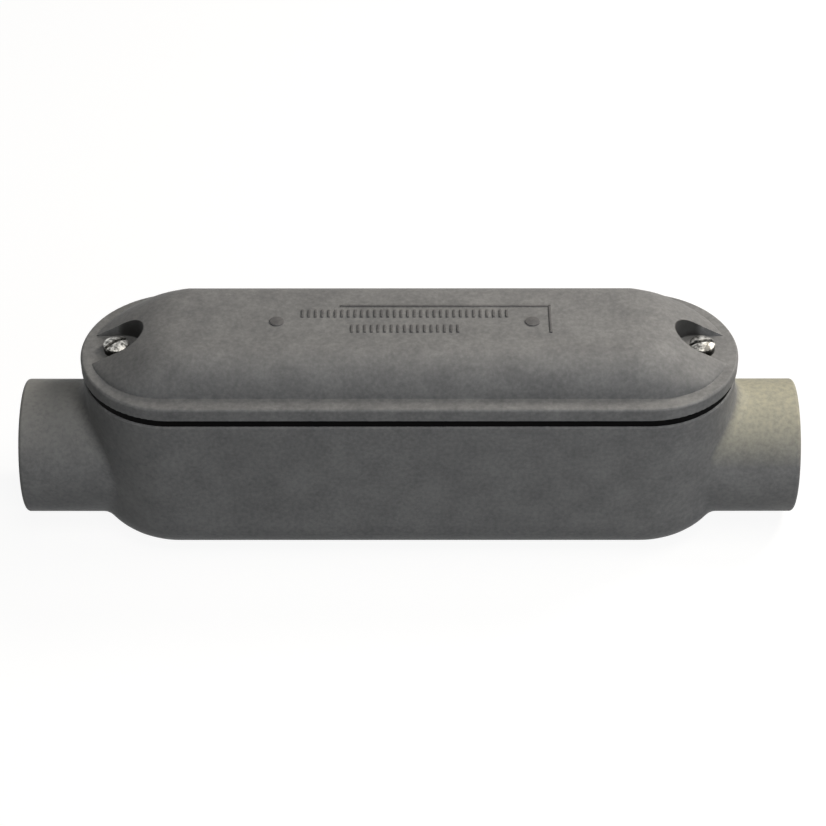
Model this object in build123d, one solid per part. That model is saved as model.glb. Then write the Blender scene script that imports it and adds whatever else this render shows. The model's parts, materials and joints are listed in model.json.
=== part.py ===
from build123d import *

import math
import os

# A straight-through conduit body for heavy wiring: a deep obround cast housing with a
# threaded hub at each end, a domed cast cover on a flat gasket, and two slotted screws.
# Millimetres. X runs through both hubs, Z points out of the cover, and the origin is
# the middle of the flat underside.

# Plan shape shared by the housing, the gasket and the cover
overall_length = 247.8  # over the faces of both hubs
housing_r = 29.4  # half the housing's width, and the radius of its rounded ends
cover_overhang = 0.3  # cover edge beyond the housing wall
gasket_inset = 0.5  # gasket edge inside the housing wall

# Housing casting
housing_height = 55.0  # underside to machined rim
housing_wall = 4.2
floor_thickness = 4.6
bottom_edge_r = 14.0  # rounding between the walls and the underside
rim_edge_r = 0.8

# Hubs, for 1 inch conduit
hub_reach = 20.8  # face of the hub beyond the housing's rounded end
hub_rim_gap = 10.75  # top of the hub below the machined rim
hub_base_gap = 1.25  # bottom of the hub above the underside
hub_wall = 5.0  # at the thread
hub_blend_r = 5.0  # cast blend where a hub meets the rounded end
hub_edge_r = 1.2
mouth_chamfer = 0.8
bushing_step = 3.1  # from the thread down to the smooth throat that the wires pass over
bushing_lead_r = 1.6  # rounding of the throat's lip, at the thread
bushing_land = 0.6  # narrowest part of the throat, between its two roundings
bushing_flare_r = 3.4  # rounding of the throat into the wire space
flare_rim = 0.4  # depth of the flare's edge below the end wall, at its shallowest

# Gasket
gasket_thickness = 2.6
gasket_width = 5.2
gasket_ear_inset = 0.2  # ear edge inside the edge of the screw lug

# Cover casting
flange_thickness = 4.6
flange_edge_r = 0.9
flange_under_edge_r = 0.4
ledge_width = 5.5  # flat step between the flange edge and the dome, along the sides
tip_ledge_width = 3.3  # the same step at the tips
dome_height = 11.5
dome_shoulder = 11.0  # width of the dome's rounded sides, in plan
cover_wall = 3.4

# Sloping ends of the dome
slope_run = 29.9  # from the tip of the dome back to where the crown starts to fall
slope_bend_r = 32.0
slope_angle = 29.3
shoulder_run = 13.7  # over which the shoulders widen, from where the crown starts to fall
end_shoulder_share = 0.74  # width of the shoulders past that, as a share of the half-width
slope_runout = 1.2  # softness of the foot of the slope on the ledge
dome_last_angle = 14.0  # how near the tip the last section lies, seen from the end's centre

# Cover screws, number 10-24, with slotted fillister heads
screw_edge_distance = 11.4  # tip of the cover to the screw's axis
screw_thread_r = 2.41
screw_engagement = 7.7
screw_head_r = 4.0
screw_head_side = 2.5
screw_head_crown = 1.1
screw_slot_width = 1.3
screw_slot_depth = 1.7
screw_point_chamfer = 0.6
left_slot_angle = 36.0
right_slot_angle = 12.0
screw_hole_clearance = 0.35  # round the screw in the cover and the gasket
tapped_hole_clearance = 0.05  # round the screw in the housing
tapped_hole_spare = 3.0  # hole depth past the screw's point
pocket_r = 7.05  # upright pocket in the slope that takes the screw head
pocket_shift = 1.85  # pocket centre inwards of the screw

# Screw lugs inside the rounded ends of the housing
lug_r = 5.4
lug_floor = 2.2  # metal under the tapped hole
lug_taper = 8.0
lug_edge_r = 1.5
lug_root = 1.0  # how far the lug is carried into the wall

# Levels and places worked out from the sizes above
hub_face_x = overall_length / 2
end_centre_x = hub_face_x - hub_reach - housing_r
hub_r = (housing_height - hub_rim_gap - hub_base_gap) / 2
hub_axis_z = hub_base_gap + hub_r
thread_r = hub_r - hub_wall  # root of the taper thread, its mean over the length
bushing_r = thread_r - bushing_step
bushing_length = bushing_lead_r + bushing_land + bushing_flare_r + flare_rim
thread_length = hub_reach + housing_wall - bushing_length
rim_z = housing_height
cover_z = rim_z + gasket_thickness
ledge_z = cover_z + flange_thickness
crown_z = ledge_z + dome_height
cavity_r = housing_r - housing_wall
cavity_edge_r = bottom_edge_r - housing_wall
gasket_r = housing_r - gasket_inset
cover_r = housing_r + cover_overhang
cover_tip_x = end_centre_x + cover_r
dome_r = cover_r - ledge_width
dome_tip_x = cover_tip_x - tip_ledge_width
dome_end_centre_x = dome_tip_x - dome_r
slope_start_x = dome_tip_x - slope_run
screw_x = cover_tip_x - screw_edge_distance
pocket_x = screw_x - pocket_shift
screw_hole_r = screw_thread_r + screw_hole_clearance
screw_length = flange_thickness + gasket_thickness + screw_engagement
tapped_depth = screw_engagement + tapped_hole_spare


def obround(radius, z):
    """Plan outline with full round ends, on the plane at height z."""
    return Plane.XY.offset(z) * SlotCenterToCenter(2 * end_centre_x, 2 * radius)


def both_ends(shape):
    """The shape made for the +X end, and its mirror image at the other end."""
    return shape + mirror(shape, about=Plane.YZ)


def edges_at_height(shape, z):
    """Edges lying in the level plane at height z."""
    near = 0.01
    return shape.edges().filter_by_position(Axis.Z, z - near, z + near)


def screw_hole(radius, z, depth):
    """Round hole on the screw's axis, up from height z."""
    return extrude(Pos(screw_x, 0, z) * Circle(radius), amount=depth)


def hub_bore():
    """Space inside one hub: chamfered mouth, thread, and the smooth rounded throat."""
    mouth_r = thread_r + mouth_chamfer
    stop_x = hub_face_x - thread_length
    lip_x = stop_x - bushing_lead_r
    lip_r = bushing_r + bushing_lead_r
    inner_x = end_centre_x + cavity_r + flare_rim
    flare_x = inner_x + bushing_flare_r
    flare_r = bushing_r + bushing_flare_r
    with BuildPart() as bore:
        with BuildSketch(Plane.XZ):
            with BuildLine():
                Polyline(
                    (inner_x, flare_r),
                    (end_centre_x, flare_r),
                    (end_centre_x, 0),
                    (hub_face_x, 0),
                    (hub_face_x, mouth_r),
                    (hub_face_x - mouth_chamfer, thread_r),
                    (stop_x, thread_r),
                    (stop_x, lip_r),
                )
                RadiusArc((stop_x, lip_r), (lip_x, bushing_r), bushing_lead_r)
                Line((lip_x, bushing_r), (flare_x, bushing_r))
                RadiusArc((flare_x, bushing_r), (inner_x, flare_r), bushing_flare_r)
            make_face()
        revolve(axis=Axis.X)
    return Pos(0, 0, hub_axis_z) * bore.part


def screw_lug():
    """Tapered lug on the inside of the rounded end, for the cover screw's tapped hole."""
    root_x = end_centre_x + cavity_r + lug_root
    depth = tapped_depth + lug_floor
    top = Pos(screw_x, 0) * Circle(lug_r)
    top += Pos((screw_x + root_x) / 2, 0) * Rectangle(root_x - screw_x, 2 * lug_r)
    lug = extrude(Plane.XY.offset(rim_z) * top, amount=-depth, taper=lug_taper)
    lug = fillet(edges_at_height(lug, rim_z - depth), lug_edge_r)
    return lug & extrude(obround(cavity_r + lug_root, 0), amount=rim_z)


def make_housing():
    shell = extrude(obround(housing_r, 0), amount=housing_height)
    shell = fillet(edges_at_height(shell, 0), bottom_edge_r)
    hub = Plane.YZ.offset(end_centre_x) * Pos(0, hub_axis_z) * Circle(hub_r)
    hub = extrude(hub, amount=hub_face_x - end_centre_x)
    hub = fillet(hub.edges().group_by(Axis.X)[-1], hub_edge_r)
    hubs = both_ends(hub)
    body = shell + hubs
    body = fillet(new_edges(shell, hubs, combined=body), hub_blend_r)
    body = fillet(edges_at_height(body, rim_z), rim_edge_r)

    cavity = extrude(obround(cavity_r, floor_thickness), amount=housing_height)
    cavity = fillet(edges_at_height(cavity, floor_thickness), cavity_edge_r)
    body = body - cavity + both_ends(screw_lug()) - both_ends(hub_bore())
    tapped_r = screw_thread_r + tapped_hole_clearance
    return body - both_ends(screw_hole(tapped_r, rim_z - tapped_depth, tapped_depth))


def make_gasket():
    ring = obround(gasket_r, rim_z) - obround(gasket_r - gasket_width, rim_z)
    ear_r = lug_r - gasket_ear_inset
    ear_root_x = end_centre_x + gasket_r - gasket_width / 2
    ear = Pos(screw_x, 0) * Circle(ear_r)
    ear += Pos((screw_x + ear_root_x) / 2, 0) * Rectangle(ear_root_x - screw_x, 2 * ear_r)
    gasket = extrude(ring, amount=gasket_thickness)
    gasket += both_ends(extrude(Plane.XY.offset(rim_z) * ear, amount=gasket_thickness))
    return gasket - both_ends(screw_hole(screw_hole_r, rim_z, gasket_thickness))


def crown_height(x):
    """Height of the dome's crown above the ledge, falling away past slope_start_x."""
    run = x - slope_start_x
    if run <= 0:
        return dome_height
    bend_run = slope_bend_r * math.sin(math.radians(slope_angle))
    on_bend = min(run, bend_run)
    drop = slope_bend_r - math.sqrt(slope_bend_r**2 - on_bend**2)
    drop += (run - on_bend) * math.tan(math.radians(slope_angle))
    height = dome_height - drop
    return (height + math.hypot(height, slope_runout)) / 2


def dome_section(x):
    """Cross-section of the dome at x: flat top and elliptical shoulders, wider on the slope."""
    past_centre = max(x - dome_end_centre_x, 0)
    half_width = math.sqrt(dome_r**2 - past_centre**2)
    level_share = dome_shoulder / dome_r
    widened = min(max((x - slope_start_x) / shoulder_run, 0), 1)
    shoulder = half_width * (level_share + widened * (end_shoulder_share - level_share))
    flat = half_width - shoulder
    height = crown_height(x)
    with BuildSketch(Plane.YZ.offset(x)) as section:
        with BuildLine():
            Line((-half_width, 0), (half_width, 0))
            EllipticalCenterArc((flat, 0), shoulder, height, start_angle=0, arc_size=90)
            Line((flat, height), (-flat, height))
            EllipticalCenterArc((-flat, 0), shoulder, height, start_angle=90, arc_size=90)
        make_face()
    return Pos(0, 0, ledge_z) * section.sketch


def dome_end():
    """Loft from the level part of the dome out to its tip at +X."""
    steps = 3
    level_run = dome_end_centre_x - slope_start_x
    stations = [slope_start_x + level_run * i / steps for i in range(steps)]
    for angle in (90, 75, 60, 45, 30, dome_last_angle):
        stations.append(dome_end_centre_x + dome_r * math.cos(math.radians(angle)))
    return loft([dome_section(x) for x in stations])


def cover_hollow():
    """Hollow under the dome, ending short of the screw pockets by the cover's wall."""
    hollow_r = dome_r - cover_wall
    tip_x = pocket_x - pocket_r - cover_wall
    top = crown_z - cover_wall
    outline = SlotCenterToCenter(2 * (tip_x - hollow_r), 2 * hollow_r)
    hollow = extrude(Plane.XY.offset(cover_z) * outline, amount=top - cover_z)
    return fillet(edges_at_height(hollow, top), dome_shoulder - cover_wall)


def screw_pocket():
    """Upright pocket down to the ledge's level, open towards the tip of the cover."""
    plan = Circle(pocket_r) + Pos(pocket_r, 0) * Rectangle(2 * pocket_r, 2 * pocket_r)
    return extrude(Pos(pocket_x, 0, ledge_z) * plan, amount=dome_height)


def make_cover():
    plate = extrude(obround(cover_r, cover_z), amount=flange_thickness)
    plate = fillet(edges_at_height(plate, ledge_z), flange_edge_r)
    plate = fillet(edges_at_height(plate, cover_z), flange_under_edge_r)
    level = extrude(dome_section(0), amount=slope_start_x)
    cover = plate + both_ends(level + dome_end())
    cover = cover - cover_hollow() - both_ends(screw_pocket())
    return cover - both_ends(screw_hole(screw_hole_r, cover_z, flange_thickness))


def make_screw(x, slot_angle):
    """Slotted fillister-head screw, seated on the ledge of the cover."""
    crown_r = (screw_head_r**2 + screw_head_crown**2) / (2 * screw_head_crown)
    top = screw_head_side + screw_head_crown
    with BuildPart() as made:
        with BuildSketch(Plane.XZ):
            with BuildLine():
                Polyline(
                    (0, top),
                    (0, -screw_length),
                    (screw_thread_r - screw_point_chamfer, -screw_length),
                    (screw_thread_r, -screw_length + screw_point_chamfer),
                    (screw_thread_r, 0),
                    (screw_head_r, 0),
                    (screw_head_r, screw_head_side),
                )
                RadiusArc((screw_head_r, screw_head_side), (0, top), -crown_r)
            make_face()
        revolve(axis=Axis.Z)
        with Locations((0, 0, top)):
            Box(
                3 * screw_head_r,
                screw_slot_width,
                2 * screw_slot_depth,
                rotation=(0, 0, slot_angle),
                mode=Mode.SUBTRACT,
            )
    return Pos(x, 0, ledge_z) * made.part


if __name__ == "__main__":
    os.makedirs("parts", exist_ok=True)
    export_step(make_housing(), "parts/housing.step")
    export_step(make_gasket(), "parts/gasket.step")
    export_step(make_cover(), "parts/cover.step")
    export_step(make_screw(-screw_x, left_slot_angle), "parts/left_screw.step")
    export_step(make_screw(screw_x, right_slot_angle), "parts/right_screw.step")
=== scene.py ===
# A large straight-through conduit body: grey coated iron housing with two threaded hubs,
# a domed iron cover on a black rubber gasket, and two slotted steel screws.
# Lengths in the dictionaries are millimetres unless a note says otherwise.

import json
import math

import bmesh
import bpy
from mathutils import Matrix, Vector


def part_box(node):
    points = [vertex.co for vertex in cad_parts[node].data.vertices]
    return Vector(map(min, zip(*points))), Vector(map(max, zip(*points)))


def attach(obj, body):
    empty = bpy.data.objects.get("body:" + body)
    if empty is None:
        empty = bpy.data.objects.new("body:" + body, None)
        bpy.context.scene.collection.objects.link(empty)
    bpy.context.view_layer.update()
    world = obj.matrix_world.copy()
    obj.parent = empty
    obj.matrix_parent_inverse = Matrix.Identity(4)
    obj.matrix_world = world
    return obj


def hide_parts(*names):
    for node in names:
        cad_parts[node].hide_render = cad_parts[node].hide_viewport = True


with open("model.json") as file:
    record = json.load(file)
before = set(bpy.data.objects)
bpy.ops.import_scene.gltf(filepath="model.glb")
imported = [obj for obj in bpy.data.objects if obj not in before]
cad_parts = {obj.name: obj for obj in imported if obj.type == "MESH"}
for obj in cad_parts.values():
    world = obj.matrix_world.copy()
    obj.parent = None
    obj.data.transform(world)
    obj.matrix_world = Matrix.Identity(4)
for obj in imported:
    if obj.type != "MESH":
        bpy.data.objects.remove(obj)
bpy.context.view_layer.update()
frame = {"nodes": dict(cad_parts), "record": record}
print("frame loaded:", sorted(frame["nodes"]))

mm = 0.001


def toLinear(hexText):
    # sRGB hex, as a colour picker shows it, to the linear RGBA that Blender uses
    linear = []
    for i in (0, 2, 4):
        c = int(hexText[i:i + 2], 16) / 255
        linear.append(c / 12.92 if c <= 0.04045 else ((c + 0.055) / 1.055) ** 2.4)
    return (*linear, 1.0)


def addNode(tree, kind, settings, links=()):
    # one shader node: settings name its properties or its input sockets,
    # and links pair an input with the socket that feeds it
    node = tree.nodes.new(kind)
    for name, value in settings.items():
        if isinstance(name, str) and hasattr(node, name):
            setattr(node, name, value)
        else:
            node.inputs[name].default_value = value
    for name, socket in links:
        tree.links.new(socket, node.inputs[name])
    return node


def newMaterial(name):
    mat = bpy.data.materials.new(name)
    mat.use_nodes = True
    mat.node_tree.nodes.clear()
    return mat, mat.node_tree


def finishMaterial(tree, shader):
    addNode(tree, "ShaderNodeOutputMaterial", {}, [("Surface", shader.outputs[0])])


def rampStops(node, positions, tones):
    # colour ramp stops, in rising order, with their colours as sRGB hex
    ramp = node.color_ramp
    while len(ramp.elements) < len(tones):
        ramp.elements.new(0.5)
    for element, position, tone in zip(ramp.elements, positions, tones):
        element.position = position
        element.color = toLinear(tone)


def perMm(size):
    # noise scale, in cells per metre, that gives cells of this size in millimetres
    return 1000 / size


# Coated cast iron

plainTone = ("737476", "878889", "9E9FA0")  # dark, middle and fleck
markTone = ("58585A", "6A6A6B", "7F7F7F")  # the raised marks are darker all over, a painted shade standing in for the shadows along their relief

castCoat = {
    "grainSize": 1.4,  # grit of the moulding sand, drawn a little coarse so that it shows
    "fineGrainSize": 0.5,
    "mottleSize": 9.0,
    "mottleShare": 0.45,
    "toneStops": (0.3, 0.5, 0.75),
    "grainDepth": 0.03,
    "fineDepth": 0.015,
    "roughness": 0.6,
    "roughnessSpread": 0.12,
    "gloss": 0.2,
    # straw plating on the hubs, lighter on the right one: partly the zinc's own colour, partly a
    # painted highlight of the light from the right
    "platingAndHighlightRight": "BDBBA7",
    "platingAndHighlightLeft": "A2A2A0",
    "platingAndHighlightBreak": 0.4,  # how much the grain breaks it up
    "platingAndHighlightGrain": (0.35, 0.65),  # noise values where it shows least and most
    "platingAndHighlightUp": (30.0, 44.0),  # up Z: none below, all above, so the top of the hub is lighter: a painted highlight
    "hubAlong": (95.0, 96.0),  # along X, the same way
    "hubAxisZ": 22.75,
    "hubOut": (23.9, 21.6),  # out from the axis: the paint is thick beyond the hub
    # painted shade on the walls of the screw pockets, standing in for the shadow that falls in
    # them
    "pocketPaintedShade": "3A3A39",
    "pocketShadeShare": 0.85,
    "pocketX": 90.15,  # axis of the screw pockets, at both ends
    "pocketOut": (7.35, 7.05),  # out from that axis: unshaded beyond, painted shade within
    "pocketUp": (62.25, 62.7),  # up Z: the floor of the pocket gets no painted shade
}


def makeCastCoat(name, tone):
    # malleable iron, sand cast, zinc plated and sprayed with grey paint: dull, finely
    # pebbled by the sand, slightly uneven in tone, with paler flecks on the grain tops.
    # The paint thins out on top of the hubs, mostly the right one, and the straw-coloured
    # plating shows through; its strength towards the top and on the right hub is a painted
    # highlight. Painted shade darkens the walls of the screw pockets
    s = castCoat
    mat, tree = newMaterial(name)
    coords = addNode(tree, "ShaderNodeTexCoord", {}).outputs["Object"]
    grain = addNode(
        tree, "ShaderNodeTexNoise",
        {"Scale": perMm(s["grainSize"]), "Detail": 3.0, "Roughness": 0.6},
        [("Vector", coords)],
    )
    fine = addNode(
        tree, "ShaderNodeTexNoise",
        {"Scale": perMm(s["fineGrainSize"]), "Detail": 2.0, "Roughness": 0.5},
        [("Vector", coords)],
    )
    mottle = addNode(
        tree, "ShaderNodeTexNoise",
        {"Scale": perMm(s["mottleSize"]), "Detail": 4.0, "Roughness": 0.55},
        [("Vector", coords)],
    )
    grainTone = addNode(
        tree, "ShaderNodeMath", {"operation": "MULTIPLY", 1: 1 - s["mottleShare"]},
        [(0, grain.outputs["Fac"])],
    )
    share = addNode(
        tree, "ShaderNodeMath", {"operation": "MULTIPLY_ADD", 1: s["mottleShare"]},
        [(0, mottle.outputs["Fac"]), (2, grainTone.outputs[0])],
    )
    colour = addNode(tree, "ShaderNodeValToRGB", {}, [("Fac", share.outputs[0])])
    rampStops(colour, s["toneStops"], tone)
    axes = addNode(tree, "ShaderNodeSeparateXYZ", {}, [("Vector", coords)])
    absX = addNode(tree, "ShaderNodeMath", {"operation": "ABSOLUTE"}, [(0, axes.outputs["X"])])
    across = addNode(
        tree, "ShaderNodeCombineXYZ", {}, [("Y", axes.outputs["Y"]), ("Z", axes.outputs["Z"])],
    )
    offAxis = addNode(
        tree, "ShaderNodeVectorMath", {"operation": "DISTANCE", 1: (0, 0, s["hubAxisZ"] * mm)},
        [(0, across.outputs[0])],
    )
    # the plating, with a painted highlight on the tops of the hubs, shows where all of these do
    masks = [
        (absX.outputs[0], s["hubAlong"]),
        (offAxis.outputs["Value"], s["hubOut"]),
        (axes.outputs["Z"], s["platingAndHighlightUp"]),
    ]
    grainLow, grainHigh = s["platingAndHighlightGrain"]
    shows = addNode(
        tree, "ShaderNodeMapRange",
        {"From Min": grainLow, "From Max": grainHigh, "To Min": 1 - s["platingAndHighlightBreak"]},
        [("Value", grain.outputs["Fac"])],
    ).outputs["Result"]
    for socket, (none, full) in masks:
        mask = addNode(
            tree, "ShaderNodeMapRange", {"From Min": none * mm, "From Max": full * mm},
            [("Value", socket)],
        )
        shows = addNode(
            tree, "ShaderNodeMath", {"operation": "MULTIPLY"},
            [(0, shows), (1, mask.outputs["Result"])],
        ).outputs[0]
    # the right hub takes the lighter colour, a painted highlight where the light falls from the
    # right
    rightSide = addNode(
        tree, "ShaderNodeMath", {"operation": "GREATER_THAN", 1: 0.0}, [(0, axes.outputs["X"])],
    )
    platingAndHighlight = addNode(
        tree, "ShaderNodeMix",
        {"data_type": "RGBA", 6: toLinear(s["platingAndHighlightLeft"]), 7: toLinear(s["platingAndHighlightRight"])},
        [(0, rightSide.outputs[0])],
    )
    platedAndHighlit = addNode(
        tree, "ShaderNodeMix", {"data_type": "RGBA"},
        [(0, shows), (6, colour.outputs["Color"]), (7, platingAndHighlight.outputs[2])],
    )
    # distance from the axis of the nearer screw pocket
    flat = addNode(
        tree, "ShaderNodeCombineXYZ", {}, [("X", absX.outputs[0]), ("Y", axes.outputs["Y"])],
    )
    away = addNode(
        tree, "ShaderNodeVectorMath", {"operation": "DISTANCE", 1: (s["pocketX"] * mm, 0, 0)},
        [(0, flat.outputs[0])],
    )
    unshaded, shaded = s["pocketOut"]
    inPocket = addNode(
        tree, "ShaderNodeMapRange",
        {"From Min": unshaded * mm, "From Max": shaded * mm, "To Max": s["pocketShadeShare"]},
        [("Value", away.outputs["Value"])],
    )
    unshaded, shaded = s["pocketUp"]
    offFloor = addNode(
        tree, "ShaderNodeMapRange", {"From Min": unshaded * mm, "From Max": shaded * mm},
        [("Value", axes.outputs["Z"])],
    )
    # painted shade: darker on the pocket walls, above the pocket floor
    pocketShade = addNode(
        tree, "ShaderNodeMath", {"operation": "MULTIPLY"},
        [(0, inPocket.outputs["Result"]), (1, offFloor.outputs["Result"])],
    )
    withPaintedShade = addNode(
        tree, "ShaderNodeMix", {"data_type": "RGBA", 7: toLinear(s["pocketPaintedShade"])},
        [(0, pocketShade.outputs[0]), (6, platedAndHighlit.outputs[2])],
    )
    smoothest = s["roughness"] - s["roughnessSpread"]
    roughest = s["roughness"] + s["roughnessSpread"]
    rough = addNode(
        tree, "ShaderNodeMapRange", {"To Min": smoothest, "To Max": roughest},
        [("Value", grain.outputs["Fac"])],
    )
    coarseBump = addNode(
        tree, "ShaderNodeBump", {"Strength": 1.0, "Distance": s["grainDepth"] * mm},
        [("Height", grain.outputs["Fac"])],
    )
    fineBump = addNode(
        tree, "ShaderNodeBump", {"Strength": 1.0, "Distance": s["fineDepth"] * mm},
        [("Height", fine.outputs["Fac"]), ("Normal", coarseBump.outputs["Normal"])],
    )
    shader = addNode(
        tree, "ShaderNodeBsdfPrincipled",
        {"Metallic": 0.0, "IOR": 1.5, "Specular IOR Level": s["gloss"]},
        [
            ("Base Color", withPaintedShade.outputs[2]),
            ("Roughness", rough.outputs["Result"]),
            ("Normal", fineBump.outputs["Normal"]),
        ],
    )
    finishMaterial(tree, shader)
    return mat


# Gasket rubber

gasketRubber = {
    "black": "030303",
    "dusty": "0B0B0B",
    "toneStops": (0.45, 0.75),
    "clothSize": 0.6,
    "clothDepth": 0.03,
    "roughness": 0.9,
    "gloss": 0.08,
}


def makeGasketRubber():
    # neoprene sheet, calendered and die cut: deep matt black with a trace of dust
    s = gasketRubber
    mat, tree = newMaterial("dieCutNeoprene")
    coords = addNode(tree, "ShaderNodeTexCoord", {}).outputs["Object"]
    dust = addNode(
        tree, "ShaderNodeTexNoise",
        {"Scale": perMm(s["clothSize"]), "Detail": 3.0, "Roughness": 0.6},
        [("Vector", coords)],
    )
    colour = addNode(tree, "ShaderNodeValToRGB", {}, [("Fac", dust.outputs["Fac"])])
    rampStops(colour, s["toneStops"], (s["black"], s["dusty"]))
    bump = addNode(
        tree, "ShaderNodeBump", {"Strength": 1.0, "Distance": s["clothDepth"] * mm},
        [("Height", dust.outputs["Fac"])],
    )
    shader = addNode(
        tree, "ShaderNodeBsdfPrincipled",
        {"Roughness": s["roughness"], "IOR": 1.52, "Specular IOR Level": s["gloss"]},
        [("Base Color", colour.outputs["Color"]), ("Normal", bump.outputs["Normal"])],
    )
    finishMaterial(tree, shader)
    return mat


# Screw steel

screwSteel = {
    "dull": "5B5A57",
    "bright": "C9C8C3",
    # painted shade low on the side of the head and in the slot, where the pocket's shadow and dark
    # reflection fall
    "headShade": "24231F",
    "toneStops": (0.42, 0.58),
    "patchSize": 1.6,
    "toolMarkSize": 0.32,
    "toolMarkDepth": 0.01,
    "roughness": 0.42,
    "headShadeFull": 63.6,  # up Z: painted shade below this on the side of the head
    "headShadeGone": 65.0,
    "seat": 62.15,  # under this, the shank gets no painted shade
}


def makeScrewSteel():
    # stainless steel, turned and slotted: bright on top in dulled patches, with fine tool
    # marks, and dark low on the head and in the slot, a painted shade for the dark pocket around
    # it
    s = screwSteel
    mat, tree = newMaterial("turnedStainlessSteel")
    coords = addNode(tree, "ShaderNodeTexCoord", {}).outputs["Object"]
    patches = addNode(
        tree, "ShaderNodeTexNoise",
        {"Scale": perMm(s["patchSize"]), "Detail": 3.0, "Roughness": 0.6},
        [("Vector", coords)],
    )
    colour = addNode(tree, "ShaderNodeValToRGB", {}, [("Fac", patches.outputs["Fac"])])
    rampStops(colour, s["toneStops"], (s["dull"], s["bright"]))
    axes = addNode(tree, "ShaderNodeSeparateXYZ", {}, [("Vector", coords)])
    unshaded = addNode(
        tree, "ShaderNodeMapRange",
        {"From Min": s["headShadeFull"] * mm, "From Max": s["headShadeGone"] * mm},
        [("Value", axes.outputs["Z"])],
    )
    underHead = addNode(
        tree, "ShaderNodeMath", {"operation": "LESS_THAN", 1: s["seat"] * mm},
        [(0, axes.outputs["Z"])],
    )
    # painted shade: darker low on the side of the head, none higher up or on the shank
    unshadedShare = addNode(
        tree, "ShaderNodeMath", {"operation": "MAXIMUM"},
        [(0, unshaded.outputs["Result"]), (1, underHead.outputs[0])],
    )
    withPaintedShade = addNode(
        tree, "ShaderNodeMix", {"data_type": "RGBA", 6: toLinear(s["headShade"])},
        [(0, unshadedShare.outputs[0]), (7, colour.outputs["Color"])],
    )
    toolMarks = addNode(
        tree, "ShaderNodeTexNoise",
        {"Scale": perMm(s["toolMarkSize"]), "Detail": 2.0, "Roughness": 0.5},
        [("Vector", coords)],
    )
    bump = addNode(
        tree, "ShaderNodeBump", {"Strength": 1.0, "Distance": s["toolMarkDepth"] * mm},
        [("Height", toolMarks.outputs["Fac"])],
    )
    shader = addNode(
        tree, "ShaderNodeBsdfPrincipled", {"Metallic": 1.0, "Roughness": s["roughness"]},
        [("Base Color", withPaintedShade.outputs[2]), ("Normal", bump.outputs["Normal"])],
    )
    finishMaterial(tree, shader)
    return mat


# Cut threads

cutThread = {
    "dark": "6F6E6A",
    "light": "A7A6A0",
    "toneStops": (0.35, 0.7),
    "chatterSize": 0.5,
    "chatterDepth": 0.02,
    "metallic": 0.8,  # the plating is dulled by its passivation
    "roughness": 0.42,
}


def makeCutThread():
    # malleable iron, tapped and then zinc plated: smoother and more metallic than the
    # cast skin, with small streaks where the tap tore the iron
    s = cutThread
    mat, tree = newMaterial("tappedIronZincPlate")
    coords = addNode(tree, "ShaderNodeTexCoord", {}).outputs["Object"]
    chatter = addNode(
        tree, "ShaderNodeTexNoise",
        {"Scale": perMm(s["chatterSize"]), "Detail": 3.0, "Roughness": 0.6},
        [("Vector", coords)],
    )
    colour = addNode(tree, "ShaderNodeValToRGB", {}, [("Fac", chatter.outputs["Fac"])])
    rampStops(colour, s["toneStops"], (s["dark"], s["light"]))
    bump = addNode(
        tree, "ShaderNodeBump", {"Strength": 1.0, "Distance": s["chatterDepth"] * mm},
        [("Height", chatter.outputs["Fac"])],
    )
    shader = addNode(
        tree, "ShaderNodeBsdfPrincipled",
        {"Metallic": s["metallic"], "Roughness": s["roughness"]},
        [("Base Color", colour.outputs["Color"]), ("Normal", bump.outputs["Normal"])],
    )
    finishMaterial(tree, shader)
    return mat


castMaterial = makeCastCoat("sandCastIronGreyCoat", plainTone)
# darker coat for the raised marks: painted shade for their relief
markMaterial = makeCastCoat("sandCastIronGreyCoatPaintedShade", markTone)
rubberMaterial = makeGasketRubber()
screwMaterial = makeScrewSteel()
threadMaterial = makeCutThread()


def dress(nodeName, material):
    data = bpy.data.objects[nodeName].data
    data.materials.clear()
    data.materials.append(material)


dress("housing", castMaterial)
dress("cover", castMaterial)
dress("gasket", rubberMaterial)
print("materials done")


# New pieces

def addPiece(name, bm, material, body, smoothAngle=35):
    mesh = bpy.data.meshes.new(name)
    bm.to_mesh(mesh)
    bm.free()
    mesh.materials.append(material)
    mesh.shade_smooth()
    mesh.set_sharp_from_angle(angle=math.radians(smoothAngle))
    piece = bpy.data.objects.new(name, mesh)
    bpy.context.scene.collection.objects.link(piece)
    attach(piece, body)
    return piece


def helicalRib(bm, rootRadius, crestRadius, pitch, length, stepsPerTurn, rootShare, crestShare):
    # closed thread ridge about X, from x = 0 towards +X; returns its vertices.
    # rootShare and crestShare are the widths of the ridge as parts of the pitch
    profile = [
        (-rootShare / 2, rootRadius), (-crestShare / 2, crestRadius),
        (crestShare / 2, crestRadius), (rootShare / 2, rootRadius),
    ]
    corners = [bm.verts.new((x * pitch * mm, 0, r * mm)) for x, r in profile]
    face = bm.faces.new(corners)
    turns = length / pitch
    steps = round(turns * stepsPerTurn)
    bmesh.ops.spin(
        bm, geom=[face] + list(face.edges) + corners, cent=(0, 0, 0), axis=(1, 0, 0),
        dvec=(length / steps * mm, 0, 0), angle=turns * 2 * math.pi, steps=steps,
        use_merge=False,
    )
    return bm.verts[:]


# Threads in the hubs

hubThread = {
    "rootRadius": 16.6,  # just inside the wall of the bore, so that no gap shows
    "crestRadius": 15.15,
    "pitch": 2.209,  # eleven and a half threads to the inch
    "stepsPerTurn": 72,
    "rootShare": 0.94,
    "crestShare": 0.12,
    "mouthGap": 1.15,
    "stopGap": 1.4,
    "fadeLength": 2.0,
    "taper": 1 / 32,  # radius lost for each millimetre of depth
    "boreLength": 19.0,
}


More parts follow.
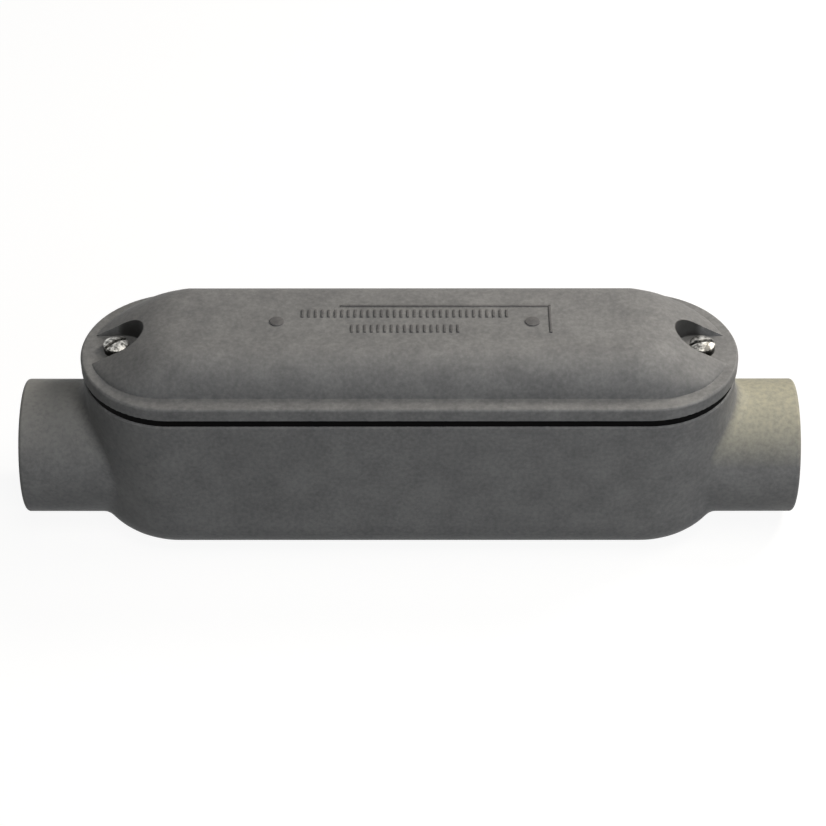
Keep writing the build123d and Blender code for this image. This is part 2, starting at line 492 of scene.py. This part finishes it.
def makeHubThread(name, side):
    s = hubThread
    mount = next(m for m in frame["record"]["mounts"] if m["name"] == side + "_hub")
    low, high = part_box("housing")
    faceX = high[0] if side == "right" else low[0]
    outward = 1 if side == "right" else -1
    axisZ = mount["pos_m"][2]
    length = s["boreLength"] - s["mouthGap"] - s["stopGap"]
    bm = bmesh.new()
    verts = helicalRib(
        bm, s["rootRadius"], s["crestRadius"], s["pitch"], length, s["stepsPerTurn"],
        s["rootShare"], s["crestShare"],
    )
    for v in verts:
        # x is still the depth from the mouth, and the ridge is about the X axis
        depth = v.co.x / mm
        radius = math.hypot(v.co.y, v.co.z) / mm
        fade = min(1, max(0, depth / s["fadeLength"]), max(0, (length - depth) / s["fadeLength"]))
        height = (s["rootRadius"] - radius) * fade
        height += s["taper"] * depth * fade * (height > 0)
        ratio = (s["rootRadius"] - height) / radius
        v.co.y *= ratio
        v.co.z *= ratio
    bmesh.ops.scale(bm, vec=(-outward, 1, 1), verts=bm.verts)
    bmesh.ops.translate(bm, vec=(faceX - outward * s["mouthGap"] * mm, 0, axisZ), verts=bm.verts)
    bmesh.ops.recalc_face_normals(bm, faces=bm.faces)
    addPiece(name, bm, threadMaterial, "housing")


makeHubThread("leftHubThread", "left")
makeHubThread("rightHubThread", "right")
print("hub threads done")


# Cover screws

screwForm = {
    "seatBelowCrown": 11.5,  # the underside of the head, down from the top of the cover
    "cutBelowSeat": 0.1,  # the CAD shank is cut off here
    "sharpFrom": 40,  # degrees between faces, for the edges to soften
    "edgeSoftness": 0.14,
    "coreRadius": 1.88,
    "ribSink": 0.05,  # how far the thread's root lies inside the core
    "crestRadius": 2.39,
    "pitch": 1.058,
    "stepsPerTurn": 32,
    "rootShare": 0.9,
    "crestShare": 0.14,
    "pointChamfer": 0.5,
    "coreSides": 32,
    "neck": 0.35,  # plain length under the head
    "thinnest": 0.02,  # of the thread's height, where it runs out
}


def makeScrew(name, node):
    s = screwForm
    low, high = [Vector(c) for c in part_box(node)]
    axisX = (low.x + high.x) / 2
    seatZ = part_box("cover")[1][2] - s["seatBelowCrown"] * mm
    bm = bmesh.new()
    bm.from_mesh(bpy.data.objects[node].data)
    bmesh.ops.remove_doubles(bm, verts=bm.verts, dist=0.001 * mm)
    # the CAD head is kept, and its plain shank is cut off under the seat
    cut = bmesh.ops.bisect_plane(
        bm, geom=bm.verts[:] + bm.edges[:] + bm.faces[:], dist=0.0001 * mm,
        plane_co=(0, 0, seatZ - s["cutBelowSeat"] * mm), plane_no=(0, 0, 1), clear_inner=True,
    )
    rim = [e for e in cut["geom_cut"] if isinstance(e, bmesh.types.BMEdge)]
    bmesh.ops.holes_fill(bm, edges=rim, sides=0)
    bmesh.ops.dissolve_limit(
        bm, angle_limit=math.radians(1), use_dissolve_boundaries=False, verts=bm.verts[:],
        edges=bm.edges[:],
    )
    least = math.radians(s["sharpFrom"])
    sharp = [e for e in bm.edges if e.is_manifold and e.calc_face_angle(0) > least]
    sharp = [e for e in sharp if e.verts[0].co.z > seatZ and e.verts[1].co.z > seatZ]
    bmesh.ops.bevel(
        bm, geom=sharp, offset=s["edgeSoftness"] * mm, offset_type="OFFSET", affect="EDGES",
        segments=2, profile=0.5, material=-1, clamp_overlap=True,
    )
    # threaded shank, made about X and then turned to point down
    shank = bmesh.new()
    length = (seatZ - low.z) / mm
    alongX = Matrix.Rotation(math.pi / 2, 4, "Y")
    bmesh.ops.create_cone(
        shank, cap_ends=True, segments=s["coreSides"], radius1=s["coreRadius"] * mm,
        radius2=s["coreRadius"] * mm, depth=length * mm,
        matrix=Matrix.Translation((length / 2 * mm, 0, 0)) @ alongX,
    )
    point = [v for v in shank.verts if v.co.x > (length - 0.01) * mm]
    rim = [e for e in shank.edges if e.verts[0] in point and e.verts[1] in point]
    bmesh.ops.bevel(
        shank, geom=rim, offset=s["pointChamfer"] * mm, offset_type="OFFSET", affect="EDGES",
        segments=1, profile=0.5, material=-1,
    )
    rib = bmesh.new()
    ribLength = length - s["neck"] - s["pointChamfer"] - s["pitch"] / 2
    rootRadius = s["coreRadius"] - s["ribSink"]
    helicalRib(
        rib, rootRadius, s["crestRadius"], s["pitch"], ribLength, s["stepsPerTurn"],
        s["rootShare"], s["crestShare"],
    )
    for v in rib.verts:
        turns = v.co.x / mm / s["pitch"]
        fadeIn = max(s["thinnest"], turns + 0.5)
        fadeOut = max(s["thinnest"], ribLength / s["pitch"] - turns)
        radius = math.hypot(v.co.y, v.co.z) / mm
        wanted = rootRadius + (radius - rootRadius) * min(1, fadeIn, fadeOut)
        v.co.y *= wanted / radius
        v.co.z *= wanted / radius
        v.co.x += s["neck"] * mm
    down = Matrix.Translation((axisX, (low.y + high.y) / 2, seatZ)) @ alongX
    for part in (shank, rib):
        bmesh.ops.transform(part, matrix=down, verts=part.verts)
        bmesh.ops.recalc_face_normals(part, faces=part.faces)
        holder = bpy.data.meshes.new("holder")
        part.to_mesh(holder)
        part.free()
        bm.from_mesh(holder)
        bpy.data.meshes.remove(holder)
    piece = addPiece(name, bm, screwMaterial, node)
    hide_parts(node)


makeScrew("leftScrewSlotted", "left_screw")
makeScrew("rightScrewSlotted", "right_screw")
print("screws done")


# Cast marking on the dome: a plain raised bracket, two rows of upright ribs and two pips

marking = {
    "relief": 0.42,
    "sunk": 0.25,  # how far the marks reach into the dome
    "softness": 0.2,
    "bracketLine": 0.8,
    "bracketLeft": -21.7,
    "bracketRight": 44.4,
    "bracketTop": 7.4,
    "bracketBottom": -6.1,
    "ribWidth": 0.85,
    "ribHeight": 3.7,
    "ribPitch": 2.06,
    "rows": [(-1.4, 3.5, 32), (-1.3, -4.1, 17)],  # middle x, middle y, ribs in the row
    "pipRadius": 2.3,
    "pips": [(-41.2, -0.5), (38.4, -0.6)],
    "pipSides": 28,
    "smoothAngle": 50,
}


def makeMarking():
    s = marking
    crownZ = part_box("cover")[1][2]
    bm = bmesh.new()
    tall = s["relief"] + s["sunk"]
    middle = Vector((0, 0, crownZ + (s["relief"] - s["sunk"]) / 2 * mm))

    def soften(edges):
        top = [e for e in edges if max(v.co.z for v in e.verts) > crownZ]
        bmesh.ops.bevel(
            bm, geom=top, offset=s["softness"] * mm, offset_type="OFFSET", affect="EDGES",
            segments=2, profile=0.5, material=-1, clamp_overlap=True,
        )

    def block(x, y, wide, deep):
        place = Matrix.Translation(middle + Vector((x, y, 0)) * mm)
        size = Matrix.Diagonal((wide * mm, deep * mm, tall * mm, 1))
        made = bmesh.ops.create_cube(bm, size=1, matrix=place @ size)
        soften({e for v in made["verts"] for e in v.link_edges})

    line = s["bracketLine"]
    across = s["bracketRight"] - s["bracketLeft"]
    block((s["bracketLeft"] + s["bracketRight"]) / 2, s["bracketTop"], across, line)
    upright = s["bracketTop"] - s["bracketBottom"] + line / 2
    block(s["bracketRight"] - line / 2, s["bracketTop"] + line / 2 - upright / 2, line, upright)
    for middleX, y, count in s["rows"]:
        for i in range(count):
            x = middleX + (i - (count - 1) / 2) * s["ribPitch"]
            block(x, y, s["ribWidth"], s["ribHeight"])
    for x, y in s["pips"]:
        made = bmesh.ops.create_cone(
            bm, cap_ends=True, segments=s["pipSides"], radius1=s["pipRadius"] * mm,
            radius2=s["pipRadius"] * mm, depth=tall * mm,
            matrix=Matrix.Translation(middle + Vector((x, y, 0)) * mm),
        )
        ring = {e for v in made["verts"] for e in v.link_edges}
        soften({e for e in ring if min(v.co.z for v in e.verts) > crownZ})
    bmesh.ops.recalc_face_normals(bm, faces=bm.faces)
    addPiece("coverMarking", bm, markMaterial, "cover", s["smoothAngle"])


makeMarking()
print("marking done")


# Camera, at the photograph's angle

cameraSet = {
    "place": (4.48, -623.17, 559.10),
    "azimuth": 0.31,  # degrees
    "elevation": 40.0,
    "roll": -0.22,
    "lens": 110.4,
    "sensorWidth": 36,
    "clipStart": 10,
}


def placeCamera():
    s = cameraSet
    azimuth = math.radians(s["azimuth"])
    elevation = math.radians(s["elevation"])
    turn = Matrix.Rotation(azimuth, 3, "Z") @ Matrix.Rotation(math.pi / 2 - elevation, 3, "X")
    turn = turn @ Matrix.Rotation(math.radians(s["roll"]), 3, "Z")
    data = bpy.data.cameras.new("photoCamera")
    data.sensor_width = s["sensorWidth"]
    data.lens = s["lens"]
    data.clip_start = s["clipStart"] * mm
    camera = bpy.data.objects.new("photoCamera", data)
    camera.matrix_world = Matrix.Translation(Vector(s["place"]) * mm) @ turn.to_4x4()
    bpy.context.scene.collection.objects.link(camera)
    bpy.context.scene.camera = camera


placeCamera()


# Floor, world and lamps

studio = {
    "floorSize": 6000,
    "floorColour": "747472",  # grey paper, as it lights the object
    "floorSeen": "F6F6F4",  # as the camera sees it
    "floorGlowShare": 0.8,
    "floorGlow": 1.14,
    "worldColour": "FFFFFF",
    "lampTarget": (0, 0, 35),
    "lamps": [
        # name, place, size, watts, colour
        ("keyRight", (390, 250, 455), 220, 1.95, "FFF6EA"),
        ("keyAbove", (270, 0, 560), 200, 0.55, "FFF8EE"),
        ("topFront", (50, -350, 1000), 500, 1.9, "FFFBF4"),
        ("rightFill", (450, -850, 450), 500, 2.75, "FCFDFF"),
    ],
}


def seenDirectly(tree):
    # 1 for rays from the camera and for reflections and refractions, 0 for diffuse light
    path = addNode(tree, "ShaderNodeLightPath", {})
    shiny = addNode(
        tree, "ShaderNodeMath", {"operation": "MAXIMUM"},
        [(0, path.outputs["Is Glossy Ray"]), (1, path.outputs["Is Transmission Ray"])],
    )
    seen = addNode(
        tree, "ShaderNodeMath", {"operation": "MAXIMUM"},
        [(0, path.outputs["Is Camera Ray"]), (1, shiny.outputs[0])],
    )
    return seen.outputs[0]


def makeFloor():
    s = studio
    bm = bmesh.new()
    bmesh.ops.create_grid(bm, x_segments=1, y_segments=1, size=s["floorSize"] * mm / 2)
    mesh = bpy.data.meshes.new("studioFloor")
    bm.to_mesh(mesh)
    bm.free()
    floor = bpy.data.objects.new("studioFloor", mesh)
    bpy.context.scene.collection.objects.link(floor)
    mat, tree = newMaterial("whiteBackdropPaper")
    seen = seenDirectly(tree)
    colour = addNode(
        tree, "ShaderNodeMix",
        {"data_type": "RGBA", 6: toLinear(s["floorColour"]), 7: toLinear(s["floorSeen"])},
        [(0, seen)],
    )
    paper = addNode(tree, "ShaderNodeBsdfDiffuse", {}, [("Color", colour.outputs[2])])
    # seen directly or in bright metal it is nearly white, with the shadow kept
    glow = addNode(tree, "ShaderNodeEmission", {"Color": (1, 1, 1, 1), "Strength": s["floorGlow"]})
    share = addNode(
        tree, "ShaderNodeMath", {"operation": "MULTIPLY", 1: s["floorGlowShare"]}, [(0, seen)],
    )
    mixed = addNode(
        tree, "ShaderNodeMixShader", {},
        [("Fac", share.outputs[0]), (1, paper.outputs[0]), (2, glow.outputs[0])],
    )
    finishMaterial(tree, mixed)
    mesh.materials.append(mat)


def makeWorld():
    # white where it is seen, and no light of its own on the object
    world = bpy.data.worlds.new("studioWorld")
    world.use_nodes = True
    tree = world.node_tree
    tree.nodes.clear()
    background = addNode(
        tree, "ShaderNodeBackground", {"Color": toLinear(studio["worldColour"])},
        [("Strength", seenDirectly(tree))],
    )
    addNode(tree, "ShaderNodeOutputWorld", {}, [("Surface", background.outputs[0])])
    bpy.context.scene.world = world


def makeLamps():
    target = Vector(studio["lampTarget"]) * mm
    for name, place, size, watts, colour in studio["lamps"]:
        data = bpy.data.lights.new(name, "AREA")
        data.shape = "DISK"
        data.size = size * mm
        data.energy = watts
        data.color = toLinear(colour)[:3]
        lamp = bpy.data.objects.new(name, data)
        lamp.location = Vector(place) * mm
        lamp.rotation_euler = (target - lamp.location).to_track_quat("-Z", "Y").to_euler()
        bpy.context.scene.collection.objects.link(lamp)


makeFloor()
makeWorld()
makeLamps()
bpy.context.scene.view_settings.view_transform = "Standard"
print("studio done")
